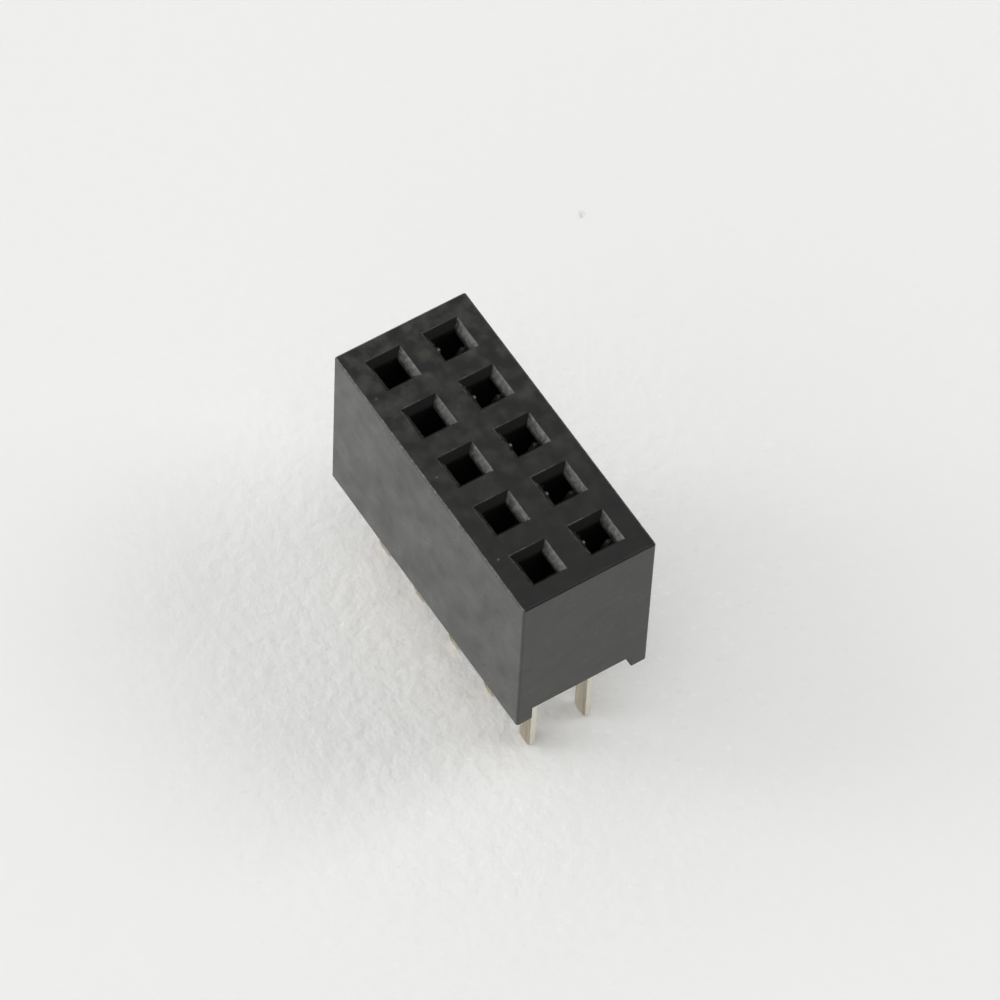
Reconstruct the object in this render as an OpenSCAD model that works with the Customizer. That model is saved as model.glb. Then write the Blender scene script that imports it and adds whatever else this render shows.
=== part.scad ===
// Dual-row female header strip: a moulded housing with one stamped twin-beam contact in each socket.
// X runs along the rows and Y across them. Z is up, and z = 0 is the board that the rails stand on.

/* [Sockets] */
// Distance from socket to socket along a row
pitch = 2.0; // [1.9:0.05:2.6]
// Distance between the two rows
row_pitch = 2.0; // [1.9:0.05:2.6]
// Side of the square lead-in at the mating face
lead_in_w = 1.25; // [1.0:0.05:1.5]
// Depth of the tapered lead-in
lead_in_h = 0.3; // [0.15:0.05:0.4]
// Side of the square throat under the lead-in
throat_w = 0.8; // [0.6:0.05:0.9]
// Depth of the straight throat
throat_h = 0.1; // [0.05:0.05:0.2]

/* [Housing] */
// Height of the mating face above the board
body_h = 6.35; // [5.5:0.05:8.5]
// Thickness of the two long walls, which run down as rails
side_wall = 0.55; // [0.4:0.05:0.9]
// Thickness of the two end walls
end_wall = 0.7; // [0.5:0.05:1.2]
// Height of the channel between the rails
channel_h = 0.6; // [0.3:0.05:0.7]
// Radius of the housing's outer edges
edge_r = 0.08; // [0.03:0.01:0.15]

/* [Contact strip] */
// Thickness of the strip that the contacts are stamped from
strip_t = 0.2; // [0.15:0.01:0.25]
// Inner radius of the sharp bends
bend_r = 0.06; // [0.03:0.01:0.1]
// Width of the cage, along the row
cage_w = 1.0; // [0.95:0.05:1.15]
// Depth of the cage over its two plates, across the rows
cage_d = 1.45; // [1.3:0.05:1.6]
// Height of the cage
cage_h = 1.4; // [0.9:0.05:1.8]
// Height of the cage's lower edge above the board
cage_z = 0.95; // [0.85:0.05:1.2]

/* [Beams] */
// Gap between the two beams where they grip a pin
grip_gap = 0.38; // [0.28:0.02:0.46]
// Depth of the gripping point below the mating face
grip_depth = 1.3; // [1.15:0.05:1.8]
// Radius of the bend at the gripping point
grip_r = 0.5; // [0.4:0.05:0.6]
// How far the outer beam spreads from its gripping point to its tip
outer_spread = 0.22; // [0.15:0.01:0.26]
// How far the inner beam spreads from its gripping point to its tip
inner_spread = 0.02; // [0:0.01:0.1]
// Width of a beam at its root
beam_root_w = 0.6; // [0.5:0.02:0.66]
// Width of a beam at its round tip
beam_tip_w = 0.16; // [0.14:0.02:0.24]
// Offset of the outer beam's tip towards the cage's side plate
outer_shift = 0.1; // [0:0.01:0.2]

/* [Tail] */
// Length of a tail below the board's upper face
tail_l = 3.5; // [2.5:0.1:4.5]
// Width of a tail, along the row
tail_w = 0.6; // [0.4:0.05:0.7]
// Slope of the jog that brings the tail under the socket's centre, in degrees
jog_angle = 48; // [45:1:60]
// Bevel at the corners of a tail's end
tail_bevel = 0.12; // [0.05:0.01:0.15]

/* [Fits] */
// Clearance between the cage's plates and the pocket's walls
plate_fit = 0.025; // [0.01:0.005:0.05]
// Reach of the barbs from the cage to the pocket's wall
barb_reach = 0.1; // [0.06:0.01:0.15]
// Clearance on each side of a beam's root in its chamber
beam_clear = 0.1; // [0.06:0.01:0.15]
// Clearance between the inner beam's tip and the side of the chamber that it stands near
side_clear = 0.05; // [0.03:0.01:0.1]
// Clearance between the tips of the beams and the chamber's top
tip_clear = 0.25; // [0.1:0.05:0.35]

/* [Hidden] */
$fn = 32;
ROWS = 2;
NODES = [
    "housing",
    "contact_a1", "contact_a2", "contact_a3", "contact_a4", "contact_a5",
    "contact_b1", "contact_b2", "contact_b3", "contact_b4", "contact_b5"
];

columns = (len(NODES) - 1) / ROWS;
pocket_w = cage_w + barb_reach;
pocket_d = cage_d + 2 * plate_fit;
chamber_w = beam_root_w + 2 * beam_clear;
body_l = (columns - 1) * pitch + pocket_w + 2 * end_wall;
body_w = (ROWS - 1) * row_pitch + pocket_d + 2 * side_wall;
cage_top = cage_z + cage_h;
chamber_top = body_h - lead_in_h - throat_h;
plate_y = (cage_d - strip_t) / 2;
grip_z = body_h - grip_depth;
tip_z = chamber_top - tip_clear;
inner_shift = (chamber_w - beam_tip_w) / 2 - side_clear;
barb_h = 0.4;
barb_land = 0.12;
barb_z = cage_z + (cage_h - barb_h) / 2;
root_r = 2;
bend_steps = 6;
past = 0.1;

plastic = "#2b2b2c";
metal = "#c9bd9f";

// A point of a bent strip holds its place across, its place along and its heading in degrees
function ahead(p, d) = [p[0] + d * sin(p[2]), p[1] + d * cos(p[2]), p[2]];

// Points of a strip that turns from its present heading to another
function bend(p, r, to) = [
    for (i = [0:bend_steps])
    let (a = p[2] + (to - p[2]) * i / bend_steps, s = to > p[2] ? r : -r)
    [p[0] + s * (cos(p[2]) - cos(a)), p[1] + s * (sin(a) - sin(p[2])), a]
];

function last(list) = list[len(list) - 1];

// Outline of a strip of even thickness that follows such points
function strip_outline(path, t) = concat(
    [for (p = path) [p[0] + t / 2 * cos(p[2]), p[1] - t / 2 * sin(p[2])]],
    [for (i = [len(path) - 1:-1:0])
        let (p = path[i]) [p[0] - t / 2 * cos(p[2]), p[1] + t / 2 * sin(p[2])]]
);

// A beam rises from its plate, leans in to the gripping point and spreads again to its tip
function beam_path(spread) =
    let (
        grip_y = (grip_gap + strip_t) / 2,
        lean = atan((plate_y - grip_y) / (grip_z - cage_top)),
        root = [plate_y, cage_top, 0],
        first = bend(root, root_r, -lean),
        drop = grip_r * (1 - cos(lean)),
        run = (last(first)[0] - grip_y - drop) / sin(lean),
        // The tip as seen from the centre of the bend, whose tangent it lies on
        to_tip = [spread - grip_r, tip_z - grip_z],
        flare = atan(to_tip[0] / to_tip[1]) + asin(grip_r / norm(to_tip)),
        second = bend(ahead(last(first), run), grip_r, flare),
        tip = ahead(last(second), (tip_z - last(second)[1]) / cos(flare))
    )
    concat([root], first, second, [tip]);

// A tail leaves the outer plate, jogs to the middle and goes straight down. Its path counts downwards.
function tail_path() =
    let (
        r = bend_r + strip_t / 2,
        top = [-plate_y, -cage_z, 0],
        first = bend(top, r, jog_angle),
        turn = 2 * r * (1 - cos(jog_angle)),
        run = (plate_y - turn) / sin(jog_angle),
        second = bend(ahead(last(first), run), r, 0)
    )
    concat([[top[0], top[1] - strip_t, 0]], first, second, [[0, tail_l, 0]]);

// A rectangle with round corners, with its lower left corner at the origin
module rounded_rect(w, h, r) {
    translate([r, 0]) square([w - 2 * r, h]);
    translate([0, r]) square([w, h - 2 * r]);
    for (x = [r, w - r], y = [r, h - r]) translate([x, y]) circle(r);
}

// Extrudes an outline drawn in Y and Z to a width along X, centred on the YZ plane
module along_x(w) {
    translate([-w / 2, 0, 0]) rotate([90, 0, 90]) linear_extrude(w) children();
}

// Extrudes an outline drawn in X and Z to a depth along Y, centred on the XZ plane
module along_y(d) {
    translate([0, d / 2, 0]) rotate([90, 0, 0]) linear_extrude(d) children();
}

// A square funnel from width w1 at z = 0 to width w2 at z = h
module funnel(w1, w2, h) {
    side = [[-w1 / 2, 0], [w1 / 2, 0], [w2 / 2, h], [-w2 / 2, h]];
    intersection() {
        along_x(max(w1, w2)) polygon(side);
        along_y(max(w1, w2)) polygon(side);
    }
}

// Places a child at every socket of a row
module at_socket(column, row) {
    x = (column - (columns - 1) / 2) * pitch;
    y = (row - (ROWS - 1) / 2) * row_pitch;
    translate([x, y, 0]) rotate(row * 180) children();
}

// End view of the housing, an arch whose two rails stand on the board
module end_profile() {
    translate([-body_w / 2, channel_h]) rounded_rect(body_w, body_h - channel_h, edge_r);
    for (side = [-1, 1])
        translate([side * (body_w - side_wall) / 2 - side_wall / 2, 0])
            rounded_rect(side_wall, body_h / 2, edge_r);
}

module housing_block() {
    intersection() {
        along_x(body_l) end_profile();
        along_y(body_w) translate([-body_l / 2, 0]) rounded_rect(body_l, body_h, edge_r);
        translate([-body_l / 2, -body_w / 2, 0]) linear_extrude(body_h) rounded_rect(body_l, body_w, edge_r);
    }
}

// Everything that is open in one socket: the pocket for the cage, the chamber for the beams,
// the throat and the lead-in
module socket() {
    translate([-pocket_w / 2, -pocket_d / 2, channel_h - past])
        cube([pocket_w, pocket_d, cage_top - channel_h + past]);
    translate([-chamber_w / 2, -pocket_d / 2, cage_top - past])
        cube([chamber_w, pocket_d, chamber_top - cage_top + past]);
    translate([-throat_w / 2, -throat_w / 2, chamber_top - past])
        cube([throat_w, throat_w, body_h - chamber_top]);
    translate([0, 0, body_h - lead_in_h])
        funnel(throat_w, lead_in_w, lead_in_h);
    translate([-lead_in_w / 2, -lead_in_w / 2, body_h])
        cube([lead_in_w, lead_in_w, past]);
}

module housing() {
    color(plastic) difference() {
        housing_block();
        for (row = [0:ROWS - 1], column = [0:columns - 1])
            at_socket(column, row) socket();
    }
}

// Plan of the cage: a side plate with a plate bent over at each end
module cage_plan() {
    r = bend_r + strip_t;
    translate([-pocket_w / 2, 0]) {
        translate([0, -cage_d / 2 + r]) square([strip_t, cage_d - 2 * r]);
        for (side = [-1, 1]) {
            translate([r, side * plate_y - strip_t / 2]) square([cage_w - r, strip_t]);
            translate([r, side * (cage_d / 2 - r)]) intersection() {
                difference() {
                    circle(r);
                    circle(bend_r);
                }
                translate([-r, side > 0 ? 0 : -r]) square(r);
            }
        }
    }
}

// A tooth on the free edge of each plate, sloped above and square below, that bites the pocket's wall
module barbs() {
    tooth = [[-strip_t, 0], [barb_reach, 0], [barb_reach, barb_land], [0, barb_h], [-strip_t, barb_h]];
    for (side = [-1, 1])
        translate([pocket_w / 2 - barb_reach, side * plate_y, barb_z]) along_y(strip_t) polygon(tooth);
}

// Front view of a beam, which narrows to a round tip
module beam_front(shift) {
    r = beam_tip_w / 2;
    polygon([
        [-beam_root_w / 2, cage_top - strip_t], [beam_root_w / 2, cage_top - strip_t],
        [shift + r, tip_z - r], [shift - r, tip_z - r]
    ]);
    translate([shift, tip_z - r]) circle(r);
}

module beam(spread, shift) {
    intersection() {
        along_x(chamber_w) polygon(strip_outline(beam_path(spread), strip_t));
        along_y(cage_d) beam_front(shift);
    }
}

// The outer beam rises from the plate that the tail leaves, and the inner one faces it.
// Their tips stand apart along the row, so that a pin is gripped at two staggered places.
module beams() {
    mirror([0, 1, 0]) beam(outer_spread, -outer_shift);
    beam(inner_spread, inner_shift);
}

module tail() {
    front = [
        [-tail_w / 2, cage_z + strip_t], [tail_w / 2, cage_z + strip_t],
        [tail_w / 2, tail_bevel - tail_l], [tail_w / 2 - tail_bevel, -tail_l],
        [tail_bevel - tail_w / 2, -tail_l], [-tail_w / 2, tail_bevel - tail_l]
    ];
    intersection() {
        mirror([0, 0, 1]) along_x(tail_w) polygon(strip_outline(tail_path(), strip_t));
        along_y(cage_d) polygon(front);
    }
}

module contact(column, row) {
    color(metal) at_socket(column, row) {
        translate([0, 0, cage_z]) linear_extrude(cage_h) cage_plan();
        barbs();
        beams();
        tail();
    }
}

module contact_a1() { contact(0, 0); }
module contact_a2() { contact(1, 0); }
module contact_a3() { contact(2, 0); }
module contact_a4() { contact(3, 0); }
module contact_a5() { contact(4, 0); }
module contact_b1() { contact(0, 1); }
module contact_b2() { contact(1, 1); }
module contact_b3() { contact(2, 1); }
module contact_b4() { contact(3, 1); }
module contact_b5() { contact(4, 1); }

housing();
contact_a1();
contact_a2();
contact_a3();
contact_a4();
contact_a5();
contact_b1();
contact_b2();
contact_b3();
contact_b4();
contact_b5();
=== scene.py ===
# %% [markdown]
# # A dual-row female header in Blender
# The object is a strip about ten millimetres long: one black moulding with ten square sockets and a
# stamped spring contact in each. Seen from this close, rounded edges, gloss and faint mottling say more
# than big shapes do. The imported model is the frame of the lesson. It gives every place and size, and the
# pieces made here stand for its nodes.

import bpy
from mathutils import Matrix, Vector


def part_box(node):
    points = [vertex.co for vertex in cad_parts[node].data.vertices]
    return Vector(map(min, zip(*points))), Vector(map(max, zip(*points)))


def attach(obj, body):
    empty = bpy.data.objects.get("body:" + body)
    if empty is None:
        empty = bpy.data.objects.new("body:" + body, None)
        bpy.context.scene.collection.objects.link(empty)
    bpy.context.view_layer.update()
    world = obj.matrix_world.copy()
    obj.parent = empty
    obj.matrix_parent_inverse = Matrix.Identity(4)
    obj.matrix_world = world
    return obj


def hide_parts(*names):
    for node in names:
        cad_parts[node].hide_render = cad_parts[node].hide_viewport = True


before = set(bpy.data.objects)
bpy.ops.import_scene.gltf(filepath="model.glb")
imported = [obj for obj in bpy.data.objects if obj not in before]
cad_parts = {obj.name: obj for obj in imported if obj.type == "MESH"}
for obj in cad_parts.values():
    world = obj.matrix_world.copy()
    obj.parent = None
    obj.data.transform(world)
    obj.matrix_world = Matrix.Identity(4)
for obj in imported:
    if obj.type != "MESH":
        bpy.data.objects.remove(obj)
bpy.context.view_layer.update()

# %% [markdown]
# ## Sizes
# Modelling in millimetres keeps the numbers readable, so each piece is built in millimetres and brought
# to metres at its end. Outer sizes and the places of the sockets are read from the frame. What a box
# can't tell, such as the lead-ins or the thickness of the strip, is a named value.

# %% Read the sizes and the places of the sockets
import math
from math import cos, sin

import bmesh
import bpy
from mathutils import Matrix, Vector

MM = 0.001
TOUCH = 0.0005


def box_mm(node):
    """Lowest and highest corner of a node in millimetres."""
    return [Vector([round(value / MM, 3) for value in corner]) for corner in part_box(node)]


def socket_axis(node):
    """The middle of a contact's box in plan, which is its socket's axis."""
    low, high = box_mm(node)
    return (low + high).xy.to_3d() / 2


body_low, body_high = box_mm("housing")
axes = {name: socket_axis(name) for name in sorted(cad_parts) if name.startswith("contact_")}
columns = sorted({axis.x for axis in axes.values()})
rows = sorted({axis.y for axis in axes.values()})
print("body", tuple(body_high - body_low), "mm, columns", columns, "rows", rows)

# %% [markdown]
# ## Camera
# A long lens far away gives the flat perspective of a close-up. The camera looks down on the near end
# from about 57 degrees. Its place is worked out from two angles and a distance, and a small roll turns
# the picture about the line of sight.

# %% Place the camera
CAMERA_TARGET = Vector((1.595, -0.804, body_high.z)) * MM
CAMERA_DISTANCE = 210.85 * MM
CAMERA_AZIMUTH = math.radians(54.905)
CAMERA_ELEVATION = math.radians(56.599)
CAMERA_ROLL = math.radians(3.273)
LENS = 259.2

camera_data = bpy.data.cameras.new("camera")
camera_data.lens = LENS
camera_data.sensor_width = 36
camera_data.clip_start = 0.01
camera = bpy.data.objects.new("camera", camera_data)
turn = (
    Matrix.Rotation(CAMERA_AZIMUTH, 4, "Z")
    @ Matrix.Rotation(math.pi / 2 - CAMERA_ELEVATION, 4, "X")
    @ Matrix.Rotation(CAMERA_ROLL, 4, "Z")
)
camera.matrix_world = Matrix.Translation(CAMERA_TARGET) @ turn @ Matrix.Translation((0, 0, CAMERA_DISTANCE))
bpy.context.scene.collection.objects.link(camera)
bpy.context.scene.camera = camera
bpy.context.scene.view_settings.view_transform = "Standard"
print("camera at", [round(value / MM, 1) for value in camera.matrix_world.translation], "mm")

# %% [markdown]
# ## Node tools
# Every finish is a small network of nodes. One helper adds a node, sets its options and fills its inputs
# with values or with links, and three short ones add the nodes that are used most. Another opens a node
# group with named inputs, so that an effect such as mottling is built once and then placed in each material
# with its own numbers.

# %% Helpers for nodes


def add(tree, kind, inputs=None, **options):
    """Adds a node. An input may be a value or the output of another node."""
    made = tree.nodes.new("ShaderNode" + kind)
    for key, value in options.items():
        setattr(made, key, value)
    for key, value in (inputs or {}).items():
        if isinstance(value, bpy.types.NodeSocket):
            tree.links.new(value, made.inputs[key])
        else:
            made.inputs[key].default_value = value
    return made


def calc(tree, operation, *values, clamp=False):
    """The result of a Math node on up to three values or outputs."""
    return add(tree, "Math", dict(enumerate(values)), operation=operation, use_clamp=clamp).outputs[0]


def ramp(tree, value, start, end, low=0, high=1):
    """Maps a value from one range to another, and stops at its ends."""
    return add(tree, "MapRange", {
        "Value": value, "From Min": start, "From Max": end, "To Min": low, "To Max": high}).outputs[0]


def facing(tree):
    """The X, Y and Z parts of the surface normal."""
    return add(tree, "SeparateXYZ", {0: add(tree, "NewGeometry").outputs["Normal"]}).outputs


def open_group(name, inputs, output):
    """A node group with a vector input, float inputs and one float output."""
    tree = bpy.data.node_groups.new(name, "ShaderNodeTree")
    tree.interface.new_socket("Vector", in_out="INPUT", socket_type="NodeSocketVector")
    for title, value in inputs.items():
        made = tree.interface.new_socket(title, in_out="INPUT", socket_type="NodeSocketFloat")
        made.default_value = value
    tree.interface.new_socket(output, in_out="OUTPUT", socket_type="NodeSocketFloat")
    return tree, tree.nodes.new("NodeGroupInput").outputs, tree.nodes.new("NodeGroupOutput").inputs


def place(tree, group, output, **inputs):
    """Places a group in a material and returns its output."""
    return add(tree, "Group", {key.replace("_", " "): value for key, value in inputs.items()},
               node_tree=group).outputs[output]


def blend(tree, share, first, second):
    """Mixes two colours by a share from 0 to 1."""
    made = add(tree, "Mix", data_type="RGBA")
    colours = [socket for socket in made.inputs if socket.type == "RGBA"]
    for socket, colour in zip(colours, (first, second)):
        if isinstance(colour, bpy.types.NodeSocket):
            tree.links.new(colour, socket)
        else:
            socket.default_value = (*colour, 1)
    tree.links.new(share, made.inputs[0])
    return next(socket for socket in made.outputs if socket.type == "RGBA")


def open_material(name):
    """A material with its Principled shader and the object's own coordinates in millimetres."""
    made = bpy.data.materials.new(name)
    made.use_nodes = True
    tree = made.node_tree
    coords = add(tree, "TexCoord").outputs["Object"]
    scaled = add(tree, "VectorMath", {0: coords, 1: (1 / MM,) * 3}, operation="MULTIPLY").outputs[0]
    return made, tree, tree.nodes["Principled BSDF"], scaled


print("node helpers ready")

# %% [markdown]
# ## Shared effects
# Three effects are enough for the moulding, the plated strip and the paper that the strip stands on.
# Mottle is soft noise between two values. Specks are small dots at random places, cut from the cells of
# a Voronoi pattern. Grain is the height of a fine, uneven skin, for a Bump node.

# %% Build the effect groups
NOISE_LOW = 0.3
NOISE_HIGH = 0.7

mottle, given, result = open_group("mottle", {"Scale": 1, "Detail": 3, "Low": 0, "High": 1}, "Value")
noise = add(mottle, "TexNoise", {key: given[key] for key in ("Vector", "Scale", "Detail")}).outputs[0]
value = ramp(mottle, noise, NOISE_LOW, NOISE_HIGH, given["Low"], given["High"])
mottle.links.new(value, result["Value"])

specks, given, result = open_group("specks", {"Scale": 5, "Share": 0.1, "Radius": 0.2, "Waver": 0.05}, "Mask")
drift = add(specks, "TexNoise", {"Vector": given["Vector"], "Scale": 9, "Detail": 2}).outputs["Color"]
offset = add(specks, "VectorMath", {0: drift, "Scale": given["Waver"]}, operation="SCALE").outputs[0]
moved = add(specks, "VectorMath", {0: given["Vector"], 1: offset}, operation="ADD").outputs[0]
cells = add(specks, "TexVoronoi", {"Vector": moved, "Scale": given["Scale"]}).outputs
chance = add(specks, "SeparateColor", {"Color": cells["Color"]}).outputs
chosen = calc(specks, "LESS_THAN", chance[0], given["Share"])
radius = calc(specks, "MULTIPLY", chance[1], given["Radius"])
inside = ramp(specks, cells["Distance"], radius, 0)
specks.links.new(calc(specks, "MULTIPLY", inside, chosen), result["Mask"])

grain, given, result = open_group("grain", {"Coarse": 4, "Fine": 20, "Fine Share": 0.3}, "Height")
coarse = add(grain, "TexNoise", {"Vector": given["Vector"], "Scale": given["Coarse"], "Detail": 2}).outputs[0]
fine = add(grain, "TexNoise", {"Vector": given["Vector"], "Scale": given["Fine"], "Detail": 4}).outputs[0]
grain.links.new(calc(grain, "MULTIPLY_ADD", fine, given["Fine Share"], coarse), result["Height"])
print("effects:", [group.name for group in bpy.data.node_groups])

# %% [markdown]
# ## Black glass-filled plastic
# The housing is moulded from a high-temperature plastic full of short glass fibres. Its skin is nearly
# black, so most of what the camera sees is reflection, and gloss decides how light each face looks. The
# fibres leave the skin faintly uneven and show as a few pale points.

# %% Start the plastic
SKIN_DARK = (0.0060, 0.0067, 0.0058)
SKIN_LIGHT = (0.0085, 0.0087, 0.0077)
SKIN_RELIEF = 0.02

plastic, tree, shader, coords = open_material("black_plastic")
tone = place(tree, mottle, "Value", Vector=coords, Scale=1.5, Detail=3.0)
colour = blend(tree, tone, SKIN_DARK, SKIN_LIGHT)
gloss = place(tree, mottle, "Value", Vector=coords, Scale=2.0, Detail=2.0, Low=0.27, High=0.35)
tree.links.new(gloss, shader.inputs["Roughness"])
skin = place(tree, grain, "Height", Vector=coords, Coarse=1.5, Fine=8.0, Fine_Share=0.025)
bump = add(tree, "Bump", {"Height": skin, "Strength": 0.35, "Distance": SKIN_RELIEF * MM})
tree.links.new(bump.outputs[0], shader.inputs["Normal"])
shader.inputs["IOR"].default_value = 1.5
print("plastic starts with", len(tree.nodes), "nodes")

# %% [markdown]
# ## Plastic: wear and painted light
# The long sides are rubbed as the strip slides along its tube, so pale cloudy patches run aslant over them.
# They are partly scuffs and partly a painted sheen that lightens both long sides. The slopes of the lead-ins
# carry pale streaks, a painted highlight. Fine dust lies on the level top as a pale film, which fades
# towards the +X end, so the top is darker there. All of this could be painted on a UV map, but the three
# parts of a face's normal already tell on which of them a point lies, so each mask is noise times one part
# of the normal.

# %% Scuff the long sides, with a painted sheen, and paint highlights on the lead-ins
# Pale cloudy patches on both long sides: partly scuffs, partly a painted sheen.
SCUFF_AND_SHEEN = (0.058, 0.058, 0.054)
SCUFF_SHEEN_SLANT = math.radians(29)
SCUFF_SHEEN_STRETCH = 2
# Pale streaks on the lead-in slopes: a painted highlight.
SLOPE_HIGHLIGHT = (0.085, 0.085, 0.075)

# Pale clouds on the long sides, partly scuffs and partly a painted sheen.
aslant = add(tree, "Mapping", {
    "Vector": coords, "Rotation": (0, SCUFF_SHEEN_SLANT, 0), "Scale": (1, 1, SCUFF_SHEEN_STRETCH)}, vector_type="TEXTURE")
scuff_sheen_clouds = place(tree, mottle, "Value", Vector=aslant.outputs[0], Scale=1.5, Detail=5.0, Low=0.03, High=0.69)
look = facing(tree)
on_side = calc(tree, "ABSOLUTE", look["Y"])
colour = blend(tree, calc(tree, "MULTIPLY", scuff_sheen_clouds, on_side, clamp=True), colour, SCUFF_AND_SHEEN)
# Painted highlight in streaks on the lead-in slopes.
highlight_streaks = place(tree, mottle, "Value", Vector=coords, Scale=7.0, Detail=3.0, Low=-1.2, High=2.4)
on_slope = calc(tree, "MULTIPLY", on_side, look["Z"])
colour = blend(tree, calc(tree, "MULTIPLY", highlight_streaks, on_slope, clamp=True), colour, SLOPE_HIGHLIGHT)
print("with scuffs", len(tree.nodes), "nodes")

# %% Dust the top and scatter the fibre points
DUSTY = (0.0380, 0.0385, 0.0325)
# The pale film on the top fades towards the +X end, so the top is darker there.
FILM_FADE_X = 5
FILM_FADE_LEAST = 0.05
LEVEL_FROM = 0.7
FIBRE_POINT = (0.17, 0.16, 0.14)

film = place(tree, mottle, "Value", Vector=coords, Scale=1.9, Detail=5.0, Low=-0.5, High=1.2)
along = add(tree, "SeparateXYZ", {0: coords}).outputs["X"]
# The film fades along X: full at the -X end, least at the +X end.
fading_film = calc(tree, "MULTIPLY", film, ramp(tree, along, FILM_FADE_X, -FILM_FADE_X, FILM_FADE_LEAST, 1))
on_top = ramp(tree, look["Z"], LEVEL_FROM, 1)
colour = blend(tree, calc(tree, "MULTIPLY", fading_film, on_top, clamp=True), colour, DUSTY)
points = place(tree, specks, "Mask", Vector=coords, Scale=2.1, Share=0.20, Radius=0.15, Waver=0.08)
off_end = calc(tree, "SUBTRACT", points, calc(tree, "ABSOLUTE", look["X"]), clamp=True)
colour = blend(tree, off_end, colour, FIBRE_POINT)
tree.links.new(colour, shader.inputs["Base Color"])
print("finished plastic has", len(tree.nodes), "nodes")

# %% [markdown]
# ## Tin-plated bronze
# The contacts are stamped from springy bronze and plated with tin. The plating is pale and slightly warm.
# Rolling leaves fine lines along the strip, so the noise is stretched along Z. On the broad faces the
# plating is thin and lets the bronze through in brownish bands, while the narrow edges stay pale. The ends
# are cut after plating, so the faces that look up or down are bare and duller. They are also painted dark,
# a painted shade that dims the glints on the beams' tips.

# %% Make the plated strip
TIN = (0.80, 0.77, 0.67)
BRONZE = (0.34, 0.25, 0.13)
# Faces that look up or down: bare cut metal, also painted darker as a shade that dims the tips' glints.
CUT_AND_SHADE = (0.20, 0.19, 0.175)
CUT_DULLNESS = 0.35
ROLLED_STRETCH = 0.06
ROLLED_RELIEF = 0.004

plating, tree, shader, coords = open_material("plated_bronze")
drawn = add(tree, "Mapping", {"Vector": coords, "Scale": (1, 1, ROLLED_STRETCH)}).outputs[0]
bands = place(tree, mottle, "Value", Vector=drawn, Scale=2.8, Detail=3.0, Low=0.25, High=0.95)
look = facing(tree)
broad = calc(tree, "SUBTRACT", 1.0, calc(tree, "ABSOLUTE", look["X"]))
colour = blend(tree, calc(tree, "MULTIPLY", bands, broad), TIN, BRONZE)
# Up- and down-facing faces get a dark colour: bare cut faces and painted shade over the tips' glints.
up_down = calc(tree, "ABSOLUTE", look["Z"])
colour = blend(tree, up_down, colour, CUT_AND_SHADE)
tree.links.new(colour, shader.inputs["Base Color"])
gloss = place(tree, mottle, "Value", Vector=drawn, Scale=9.0, Detail=3.0, Low=0.22, High=0.36)
tree.links.new(calc(tree, "MULTIPLY_ADD", up_down, CUT_DULLNESS, gloss), shader.inputs["Roughness"])
lines = place(tree, grain, "Height", Vector=drawn, Coarse=10.0, Fine=60.0, Fine_Share=0.35)
bump = add(tree, "Bump", {"Height": lines, "Strength": 0.25, "Distance": ROLLED_RELIEF * MM})
tree.links.new(bump.outputs[0], shader.inputs["Normal"])
shader.inputs["Metallic"].default_value = 1
print("plating has", len(tree.nodes), "nodes")

# %% [markdown]
# ## Finishing a piece
# Each piece ends the same way. Its mesh is brought to metres, linked as an object at the origin and given
# its material. A live Bevel rounds the edges, and hardened normals keep the flat faces flat in the light
# while the narrow bevels catch it. A finished piece rides on the part's one body and names the nodes that
# it stands for.

# %% Helper that finishes a piece


def finish_piece(bm, name, material):
    """Turns a bmesh in millimetres into an object in metres that stands for the node of its name."""
    bmesh.ops.recalc_face_normals(bm, faces=bm.faces)
    bmesh.ops.scale(bm, vec=(MM,) * 3, verts=bm.verts)
    for face in bm.faces:
        face.smooth = True
    mesh = bpy.data.meshes.new(name + "_piece")
    bm.to_mesh(mesh)
    bm.free()
    mesh.materials.append(material)
    piece = bpy.data.objects.new(name + "_piece", mesh)
    bpy.context.scene.collection.objects.link(piece)
    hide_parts(name)
    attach(piece, "root")
    return piece


def round_edges(piece, width, segments, **options):
    """Adds a live Bevel whose width is given in millimetres."""
    bevel = piece.modifiers.new("rounding", "BEVEL")
    bevel.width = width * MM
    bevel.segments = segments
    bevel.harden_normals = True
    for key, value in options.items():
        setattr(bevel, key, value)


print("finishing helpers ready")

# %% [markdown]
# ## Housing: the block
# The real housing is moulded in one shot. Its outline is the same along its whole length: an arch, whose
# two rails stand on the board. So the block starts as one face with that outline, which is extruded along
# X. That is quicker and cleaner than cutting a channel out of a box.

# %% Extrude the arch
RAIL_W = 0.55
CHANNEL_H = 0.6

half_l, half_w, body_h = body_high
inner = half_w - RAIL_W
arch = [
    (-half_w, 0), (-inner, 0), (-inner, CHANNEL_H), (inner, CHANNEL_H),
    (inner, 0), (half_w, 0), (half_w, body_h), (-half_w, body_h)
]
housing_bm = bmesh.new()
outline = housing_bm.faces.new([housing_bm.verts.new((-half_l, y, z)) for y, z in arch])
pulled = bmesh.ops.extrude_face_region(housing_bm, geom=[outline])["geom"]
pulled_verts = [part for part in pulled if isinstance(part, bmesh.types.BMVert)]
bmesh.ops.translate(housing_bm, vec=(2 * half_l, 0, 0), verts=pulled_verts)
bmesh.ops.recalc_face_normals(housing_bm, faces=housing_bm.faces)
print("block has", len(housing_bm.faces), "faces")

# %% [markdown]
# ## Housing: the sockets
# Each socket is stepped. From above it has a tapered lead-in and a short throat, and from below a pocket
# for the contact's cage and a narrower chamber for its beams. The faces where these start are ruled with
# bisecting planes, and the squares on the sockets' axes are then extruded level by level. The outer walls
# of the pockets carry on the walls of the channel, so only their inner walls are ruled there. The two ends
# meet at the chamber's top, where both squares are removed and their corners welded.

# %% Helpers that rule and sink faces
FLAT = 0.99


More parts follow.
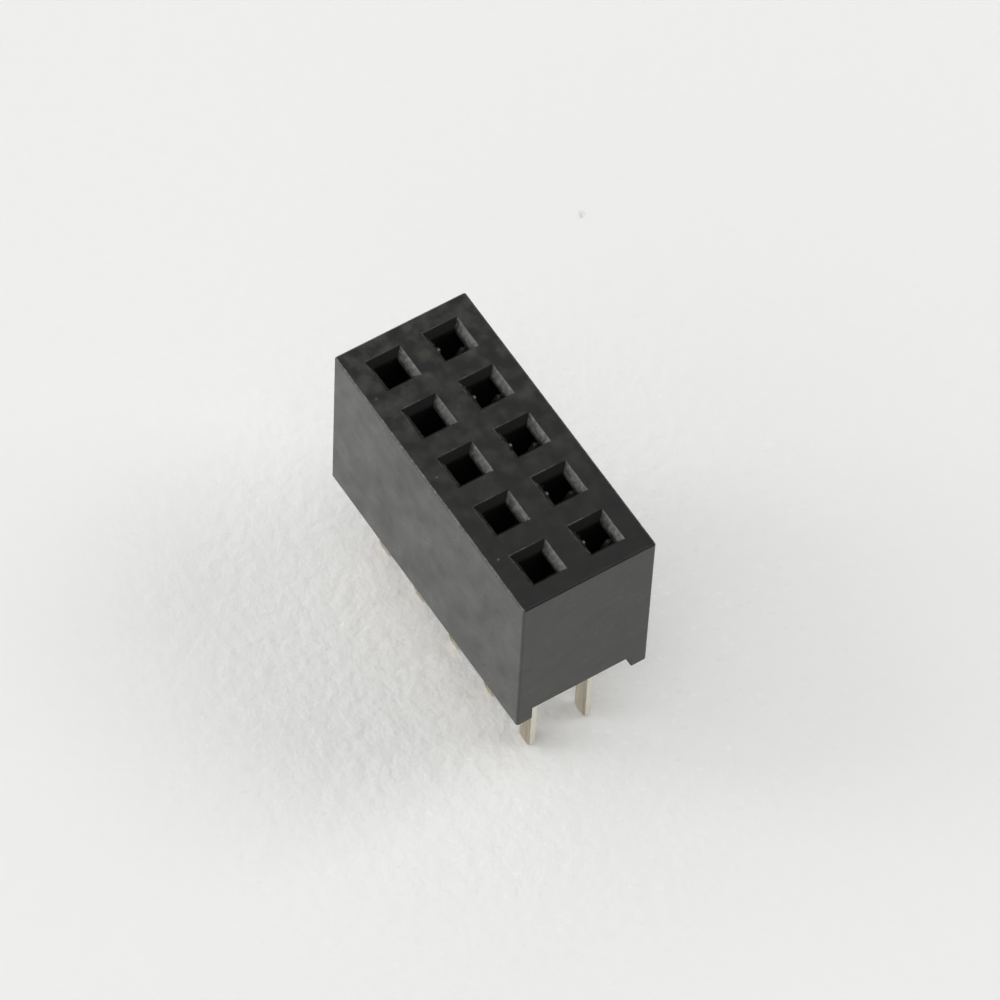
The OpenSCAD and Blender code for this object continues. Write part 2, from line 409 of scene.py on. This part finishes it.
def level_faces(bm, level):
    """Faces that lie flat at a height."""
    return [face for face in bm.faces
            if abs(face.normal.z) > FLAT and abs(face.calc_center_median().z - level) < TOUCH]


def rule(bm, level, axis, places):
    """Cuts the flat faces of one level along X (axis 0) or Y (axis 1) at these places."""
    normal = Vector((0, 0, 0))
    normal[axis] = 1
    for at in places:
        faces = level_faces(bm, level)
        edges = {edge for face in faces for edge in face.edges}
        verts = {vert for face in faces for vert in face.verts}
        bmesh.ops.bisect_plane(
            bm, geom=[*verts, *edges, *faces], dist=TOUCH, plane_co=normal * at, plane_no=normal)


def on_axes(bm, level):
    """The flat faces of one level whose middle is on a socket's axis."""
    return [face for face in level_faces(bm, level)
            if any((face.calc_center_bounds().xy - axis.xy).length < TOUCH for axis in axes.values())]


def sink(bm, faces, to_level, shrink=1):
    """Extrudes each face to another height, and scales it about its middle."""
    made = bmesh.ops.extrude_discrete_faces(bm, faces=faces)["faces"]
    for face in made:
        middle = face.calc_center_bounds()
        bmesh.ops.scale(bm, vec=(shrink, shrink, 1), verts=face.verts, space=Matrix.Translation(-middle))
        bmesh.ops.translate(bm, vec=(0, 0, to_level - middle.z), verts=face.verts)
    return made


def both_sides(middles, half):
    """Two places about each middle, half a width to either side."""
    return [middle + side * half for middle in middles for side in (-1, 1)]


print("socket helpers ready")

# %% Sink the ten sockets from above and from below
LEAD_IN_W = 1.25
LEAD_IN_H = 0.3
THROAT_W = 0.8
THROAT_H = 0.1
POCKET_W = 1.1
POCKET_D = 1.5
CHAMBER_W = 0.8
CAGE_Z = 0.95
CAGE_H = 1.4

cage_top = CAGE_Z + CAGE_H
chamber_top = body_h - LEAD_IN_H - THROAT_H

rule(housing_bm, body_h, 0, both_sides(columns, LEAD_IN_W / 2))
rule(housing_bm, body_h, 1, both_sides(rows, LEAD_IN_W / 2))
throats = sink(housing_bm, on_axes(housing_bm, body_h), body_h - LEAD_IN_H, THROAT_W / LEAD_IN_W)
throats = sink(housing_bm, throats, chamber_top)
bmesh.ops.delete(housing_bm, geom=throats, context="FACES_ONLY")

rule(housing_bm, CHANNEL_H, 0, both_sides(columns, POCKET_W / 2))
rule(housing_bm, CHANNEL_H, 1, both_sides(rows, POCKET_D / 2)[1:3])
sink(housing_bm, on_axes(housing_bm, CHANNEL_H), cage_top)
rule(housing_bm, cage_top, 0, both_sides(columns, CHAMBER_W / 2))
sink(housing_bm, on_axes(housing_bm, cage_top), chamber_top)
rule(housing_bm, chamber_top, 1, both_sides(rows, THROAT_W / 2))
bmesh.ops.delete(housing_bm, geom=on_axes(housing_bm, chamber_top), context="FACES_ONLY")
bmesh.ops.remove_doubles(housing_bm, verts=housing_bm.verts, dist=TOUCH)
bmesh.ops.recalc_face_normals(housing_bm, faces=housing_bm.faces)
print("housing has", len(housing_bm.faces), "faces and",
      sum(not edge.is_manifold for edge in housing_bm.edges), "open edges")

# %% [markdown]
# ## Housing: the rounding
# A mould leaves a small radius on every outer edge, and a smaller one at the lead-ins. Bevel weights carry
# that choice: an edge on the outside gets the full width and a lead-in edge only part of it. Edges that
# stay sharp are marked, so that smooth shading stops there.

# %% Weigh the edges and finish the housing
EDGE_R = 0.08
LEAD_IN_R = 0.03
THROAT_R = 0.06
SHARP = math.radians(20)


def edge_weight(edge):
    """How much of the full rounding an edge gets: all of it outside, part of it at the lead-ins."""
    middle = (edge.verts[0].co + edge.verts[1].co) / 2
    outside = [abs(abs(middle.x) - half_l) < TOUCH, abs(abs(middle.y) - half_w) < TOUCH, abs(middle.z) < TOUCH,
               abs(middle.z - body_h) < TOUCH]
    if not edge.is_convex:
        return 0
    if sum(outside) > 1 or outside[2]:
        return 1
    if abs(middle.z - body_h + LEAD_IN_H) < TOUCH:
        return THROAT_R / EDGE_R
    return LEAD_IN_R / EDGE_R if sum(outside) else 0


weights = housing_bm.edges.layers.float.new("bevel_weight_edge")
for edge in housing_bm.edges:
    if edge.calc_face_angle(0) > SHARP:
        edge[weights] = edge_weight(edge)
        edge.smooth = edge[weights] > 0
housing = finish_piece(housing_bm, "housing", plastic)
round_edges(housing, EDGE_R, segments=4, limit_method="WEIGHT")
print("housing piece finished")

# %% [markdown]
# ## Contacts: the sheet
# A contact is stamped flat and folded up: a cage of three walls, two long spring beams and a solder tail.
# Here it is folded in the same way. Only the middle surface of the strip is modelled: an edge is pulled
# along to make a flat stretch and spun about a bend's centre to make a fold. A Solidify modifier gives it
# its thickness afterwards, so bends keep an even wall.

# %% Helpers that pull and fold an edge
BEND_STEPS = 6


def pull(bm, edges, way):
    """Extrudes edges along a vector and returns the far edges."""
    made = bmesh.ops.extrude_edge_only(bm, edges=edges)["geom"]
    verts = {part for part in made if isinstance(part, bmesh.types.BMVert)}
    bmesh.ops.translate(bm, vec=way, verts=list(verts))
    return [part for part in made if isinstance(part, bmesh.types.BMEdge) and verts.issuperset(part.verts)]


def fold(bm, edges, centre, axis, angle):
    """Spins edges about a bend's centre and returns the far edges."""
    verts = {vert for edge in edges for vert in edge.verts}
    made = bmesh.ops.spin(bm, geom=[*verts, *edges], cent=centre, axis=axis, angle=angle, steps=BEND_STEPS)
    return [part for part in made["geom_last"] if isinstance(part, bmesh.types.BMEdge)]


def flat_edges(bm, y, z, half_x):
    """The edges along X at one place in Y and Z, up to half_x from the middle."""
    return [edge for edge in bm.edges
            if all(abs(vert.co.y - y) < TOUCH and abs(vert.co.z - z) < TOUCH and vert.co.x < half_x + TOUCH
                   for vert in edge.verts)
            and abs(edge.verts[0].co.x - edge.verts[1].co.x) > TOUCH
            and min(vert.co.x for vert in edge.verts) > -half_x - TOUCH]


print("sheet helpers ready")

# %% [markdown]
# ## Contacts: the cage
# The cage sits in the pocket. Its side plate lies on the pocket's wall, and on the free edge of each of
# the other two plates a small barb bites the opposite wall. The barbs are square below and sloped above,
# because the contact is pushed in from below and must not come out again.

# %% Fold the cage
STRIP_T = 0.2
BEND_R = 0.06
CAGE_D = 1.45
BARB_REACH = 0.1
BARB_LAND = 0.12
BARB_H = 0.4
BEAM_ROOT_W = 0.6
TAIL_W = 0.6

bend_mid = BEND_R + STRIP_T / 2
plate_y = (CAGE_D - STRIP_T) / 2
side_x = (STRIP_T - POCKET_W) / 2
free_x = POCKET_W / 2 - BARB_REACH
barb_z = CAGE_Z + (CAGE_H - BARB_H) / 2

contact_bm = bmesh.new()
levels = (CAGE_Z, barb_z, barb_z + BARB_LAND, barb_z + BARB_H, cage_top)
verts = [contact_bm.verts.new((free_x, plate_y, z)) for z in levels]
edges = [contact_bm.edges.new(pair) for pair in zip(verts, verts[1:])]
free_edges = [edges[1:3]]
for length in (free_x - TAIL_W / 2, TAIL_W / 2 - side_x - bend_mid):
    edges = pull(contact_bm, edges, (-length, 0, 0))
edges = fold(contact_bm, edges, (side_x + bend_mid, plate_y - bend_mid, 0), (0, 0, 1), math.pi / 2)
edges = pull(contact_bm, edges, (0, -2 * (plate_y - bend_mid), 0))
edges = fold(contact_bm, edges, (side_x + bend_mid, bend_mid - plate_y, 0), (0, 0, 1), math.pi / 2)
for length in (TAIL_W / 2 - side_x - bend_mid, free_x - TAIL_W / 2):
    edges = pull(contact_bm, edges, (length, 0, 0))
free_edges.append([edge for edge in edges
                   if all(barb_z - TOUCH < vert.co.z < barb_z + BARB_H + TOUCH for vert in edge.verts)])
for barb_edges in free_edges:
    tooth = pull(contact_bm, barb_edges, (BARB_REACH, 0, 0))
    peak = max((vert for edge in tooth for vert in edge.verts), key=lambda vert: vert.co.z)
    peak.co.x -= BARB_REACH
bmesh.ops.remove_doubles(contact_bm, verts=contact_bm.verts, dist=TOUCH)
print("cage has", len(contact_bm.faces), "faces")

# %% [markdown]
# ## Contacts: the beams
# Two beams rise from the cage. Each leans in until it almost meets the other, and its tip spreads again
# so that a pin finds its way between them. Both curves are spins with a known radius. The straight
# stretches end where a tangent of the bend meets the tip. Each beam narrows to a round tip, which keeps
# the bending stress even, and the rounding is set by how near each short rung is to the end.

# %% Raise the two beams
GRIP_GAP = 0.38
GRIP_DEPTH = 1.3
GRIP_R = 0.5
ROOT_R = 2
SPREADS = {-1: 0.22, 1: 0.02}
TIP_SHIFTS = {-1: -0.10, 1: 0.27}
BEAM_TIP_W = 0.16
TIP_CLEAR = 0.25
TIP_RUNGS = 5

tip_z = chamber_top - TIP_CLEAR
tip_r = BEAM_TIP_W / 2
grip_y = (GRIP_GAP + STRIP_T) / 2
grip_z = body_h - GRIP_DEPTH
lean = math.atan((plate_y - grip_y) / (grip_z - cage_top))
drop = GRIP_R * (1 - cos(lean))


def raise_beam(bm, side, spread):
    """Bends one beam up from its plate to its tip and returns the angle of its spread."""
    edges = flat_edges(bm, side * plate_y, cage_top, BEAM_ROOT_W / 2)
    edges = fold(bm, edges, (0, side * (plate_y - ROOT_R), cage_top), (1, 0, 0), side * lean)
    run = (abs(edges[0].verts[0].co.y) - grip_y - drop) / sin(lean)
    edges = pull(bm, edges, (0, -side * run * sin(lean), run * cos(lean)))
    centre = edges[0].verts[0].co + GRIP_R * Vector((0, side * cos(lean), sin(lean)))
    to_tip = Vector((spread - GRIP_R, tip_z - grip_z))
    flare = math.atan(to_tip.x / to_tip.y) + math.asin(GRIP_R / to_tip.length)
    edges = fold(bm, edges, centre, (1, 0, 0), -side * (lean + flare))
    straight = tip_z - edges[0].verts[0].co.z - tip_r
    heights = [straight] + [
        tip_r * (sin((rung + 1) * math.pi / 2 / TIP_RUNGS) - sin(rung * math.pi / 2 / TIP_RUNGS))
        for rung in range(TIP_RUNGS - 1)]
    for rise in heights:
        edges = pull(bm, edges, (0, side * rise * math.tan(flare), rise))
    return flare


def beam_span(z, shift):
    """Middle and half width of a beam's front view at a height."""
    share = min((z - cage_top) / (tip_z - tip_r - cage_top), 1)
    above = max(z - tip_z + tip_r, 0)
    half = (BEAM_ROOT_W + (BEAM_TIP_W - BEAM_ROOT_W) * share) / 2
    return shift * share, half * math.sqrt(1 - (above / tip_r) ** 2)


flares = [raise_beam(contact_bm, side, spread) for side, spread in SPREADS.items()]
for vert in contact_bm.verts:
    if vert.co.z > cage_top + TOUCH:
        middle, half = beam_span(vert.co.z, TIP_SHIFTS[math.copysign(1, vert.co.y)])
        vert.co.x = middle + math.copysign(half, vert.co.x)
print("beams lean", round(math.degrees(lean), 1), "degrees and spread",
      [round(math.degrees(flare), 1) for flare in flares])

# %% [markdown]
# ## Contacts: the tail
# The tail leaves the outer plate, jogs to the middle of the socket and goes straight down through the
# board. Its end is bevelled so that it finds its hole. The jog is two spins with a straight stretch
# between them.

# %% Pull the tail down
JOG = math.radians(48)
TAIL_BEVEL = 0.12

tail_end = min(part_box(name)[0].z for name in axes) / MM
edges = flat_edges(contact_bm, -plate_y, CAGE_Z, TAIL_W / 2)
edges = fold(contact_bm, edges, (0, bend_mid - plate_y, CAGE_Z), (1, 0, 0), JOG)
run = (plate_y - 2 * bend_mid * (1 - cos(JOG))) / sin(JOG)
edges = pull(contact_bm, edges, (0, run * sin(JOG), -run * cos(JOG)))
start = edges[0].verts[0].co
edges = fold(contact_bm, edges, start - bend_mid * Vector((0, cos(JOG), sin(JOG))), (1, 0, 0), -JOG)
edges = pull(contact_bm, edges, (0, 0, tail_end + TAIL_BEVEL - edges[0].verts[0].co.z))
edges = pull(contact_bm, edges, (0, 0, -TAIL_BEVEL))
for vert in {vert for edge in edges for vert in edge.verts}:
    vert.co.x *= 1 - 2 * TAIL_BEVEL / TAIL_W
print("contact has", len(contact_bm.faces), "faces, tail ends at", round(tail_end, 2), "mm")

# %% [markdown]
# ## Contacts: ten copies
# All ten contacts are the same stamping. The row on the +Y side is turned by half a turn, so that every
# tail leaves on the outer side. Each copy is its own piece, with its place in its mesh, and stands for the
# node of the same contact.

# %% Place the ten contacts
PUNCHED_R = 0.02
PUNCHED_ANGLE = math.radians(40)

for name, axis in axes.items():
    copy = contact_bm.copy()
    if axis.y > 0:
        bmesh.ops.rotate(copy, cent=(0, 0, 0), matrix=Matrix.Rotation(math.pi, 3, "Z"), verts=copy.verts)
    bmesh.ops.translate(copy, vec=axis, verts=copy.verts)
    contact = finish_piece(copy, name, plating)
    wall = contact.modifiers.new("strip", "SOLIDIFY")
    wall.thickness = STRIP_T * MM
    wall.offset = 0
    wall.use_even_offset = True
    wall.use_quality_normals = True
    round_edges(contact, PUNCHED_R, segments=2, limit_method="ANGLE", angle_limit=PUNCHED_ANGLE)
contact_bm.free()
print(len(axes), "contacts placed")

# %% [markdown]
# ## Floor
# The strip stands on its tails on pale matt paper. The plane is far larger than the picture, so that its
# edge never shows. Paper isn't even: its tone wanders a little, and a few dark fibres lie in it. Where the
# strip was set down it is faintly creased, and short threads are painted there, the pale ones as a painted
# highlight and the dark ones as a painted shadow. Both fade with the distance from the strip. Seen from
# below, the floor lets the camera through, so that the underside can be checked.

# %% Lay the floor
FLOOR_HALF = 2
FLOOR_SINK = 0.01

floor_bm = bmesh.new()
bmesh.ops.create_grid(floor_bm, x_segments=1, y_segments=1, size=FLOOR_HALF)
bmesh.ops.translate(floor_bm, vec=(0, 0, (tail_end - FLOOR_SINK) * MM), verts=floor_bm.verts)
floor_mesh = bpy.data.meshes.new("floor")
floor_bm.to_mesh(floor_mesh)
floor_bm.free()
floor = bpy.data.objects.new("floor", floor_mesh)
bpy.context.scene.collection.objects.link(floor)
print("floor at", round(tail_end, 2), "mm")

# %% Make the paper
PAPER_DARK = (0.863, 0.863, 0.849)
PAPER_LIGHT = (0.871, 0.871, 0.857)
FIBRE = (0.45, 0.42, 0.38)
# Thread marks near the strip: the pale ones are a painted highlight, the dark ones a painted shadow.
THREAD_HIGHLIGHT = (0.915, 0.915, 0.9)
THREAD_SHADOW = (0.825, 0.825, 0.81)
THREAD_STRETCH = 1.8
THREAD_CONTRAST = 1.5
CREASED_TO = 6
SMOOTH_FROM = 15
CREASES_LEFT = 0.1
PAPER_RELIEF = 0.045

paper, tree, shader, coords = open_material("pale_paper")
tone = place(tree, mottle, "Value", Vector=coords, Scale=2.5, Detail=6.0)
fibres = place(tree, specks, "Mask", Vector=coords, Scale=0.35, Share=0.04, Radius=0.08, Waver=0.3)
colour = blend(tree, fibres, blend(tree, tone, PAPER_DARK, PAPER_LIGHT), FIBRE)
away = add(tree, "VectorMath", {0: coords}, operation="LENGTH").outputs["Value"]
creased = ramp(tree, away, CREASED_TO, SMOOTH_FROM, 1, CREASES_LEFT)
# Two sets of short threads, one painted as highlight and one painted as shadow, fading away from the strip.
for angle, scale, thread_paint in ((62, 8.0, THREAD_HIGHLIGHT), (75, 7.0, THREAD_SHADOW)):
    laid = add(tree, "Mapping", {
        "Vector": coords, "Rotation": (0, 0, math.radians(angle)), "Scale": (THREAD_STRETCH, 1, 1)},
        vector_type="TEXTURE").outputs[0]
    threads = place(tree, specks, "Mask", Vector=laid, Scale=scale, Share=0.1, Radius=0.7, Waver=0.15)
    painted_threads = calc(tree, "MULTIPLY", calc(tree, "MULTIPLY", threads, creased), THREAD_CONTRAST, clamp=True)
    colour = blend(tree, painted_threads, colour, thread_paint)
tree.links.new(colour, shader.inputs["Base Color"])
felt = place(tree, grain, "Height", Vector=coords, Coarse=2.0, Fine=5.0, Fine_Share=0.35)
bump = add(tree, "Bump", {"Height": felt, "Strength": creased, "Distance": PAPER_RELIEF * MM})
tree.links.new(bump.outputs[0], shader.inputs["Normal"])
shader.inputs["Roughness"].default_value = 0.9
shader.inputs["Specular IOR Level"].default_value = 0.1
print("paper has", len(tree.nodes), "nodes")

# %% Let the camera through from below
sight = add(tree, "LightPath").outputs["Is Camera Ray"]
behind = add(tree, "NewGeometry").outputs["Backfacing"]
clear = add(tree, "BsdfTransparent").outputs[0]
hidden = calc(tree, "MULTIPLY", sight, behind)
surface = add(tree, "MixShader", {0: hidden, 1: shader.outputs[0], 2: clear}).outputs[0]
tree.links.new(surface, tree.nodes["Material Output"].inputs["Surface"])
floor_mesh.materials.append(paper)
print("floor carries", floor_mesh.materials[0].name)

# %% [markdown]
# ## Light
# The picture has two soft shadows, one on each side, so there are two large soft lamps, a third one high
# above that fills both shadows, and a bright surrounding. Each lamp is given the share of the floor's light
# that its shadow takes away, and its power follows from that share. The surrounding is pale near the
# horizon and greyer overhead, which is what keeps the black top face dark. One side of it is brighter, and
# the other is dim, which leaves the lead-in slopes that look there black.

# %% Set the lamps
LAMP_DISTANCE = 1.0


def add_lamp(name, azimuth, elevation, width, height, share):
    """Adds a rectangular lamp that gives the floor this share of full light, and returns its power."""
    data = bpy.data.lights.new(name, "AREA")
    data.shape = "RECTANGLE"
    data.size = width
    data.size_y = height
    data.energy = share * math.pi ** 2 * LAMP_DISTANCE ** 2 / sin(elevation)
    lamp = bpy.data.objects.new(name, data)
    aim = Matrix.Rotation(azimuth, 4, "Z") @ Matrix.Rotation(math.pi / 2 - elevation, 4, "X")
    lamp.matrix_world = aim @ Matrix.Translation((0, 0, LAMP_DISTANCE))
    bpy.context.scene.collection.objects.link(lamp)
    return data.energy


powers = [
    add_lamp("left_lamp", math.radians(-34), math.radians(28), width=0.30, height=0.85, share=0.073),
    add_lamp("right_lamp", math.radians(155), math.radians(46), width=0.55, height=0.55, share=0.20),
    add_lamp("top_lamp", CAMERA_AZIMUTH, math.radians(72), width=0.62, height=0.62, share=0.205),
]
print("lamp powers", [round(power, 3) for power in powers], "W")

# %% Set the surrounding
HORIZON = (1.80, 1.80, 1.80)
OVERHEAD = (0.385, 0.385, 0.385)
HORIZON_Z = 0.1
OVERHEAD_Z = 0.58
BRIGHT_SIDE = (-0.75, -0.66, 0)
BRIGHTEST = 2

world = bpy.data.worlds.new("studio")
world.use_nodes = True
bpy.context.scene.world = world
sky = world.node_tree
background = sky.nodes["Background"].inputs
direction = add(sky, "TexCoord").outputs["Generated"]
rise = add(sky, "SeparateXYZ", {0: direction}).outputs["Z"]
colour = blend(sky, ramp(sky, rise, HORIZON_Z, OVERHEAD_Z), HORIZON, OVERHEAD)
sky.links.new(colour, background["Color"])
across = add(sky, "VectorMath", {0: direction, 1: BRIGHT_SIDE}, operation="DOT_PRODUCT").outputs["Value"]
sky.links.new(ramp(sky, across, -1, 1, 0, BRIGHTEST), background["Strength"])
print("surrounding has", len(sky.nodes), "nodes")
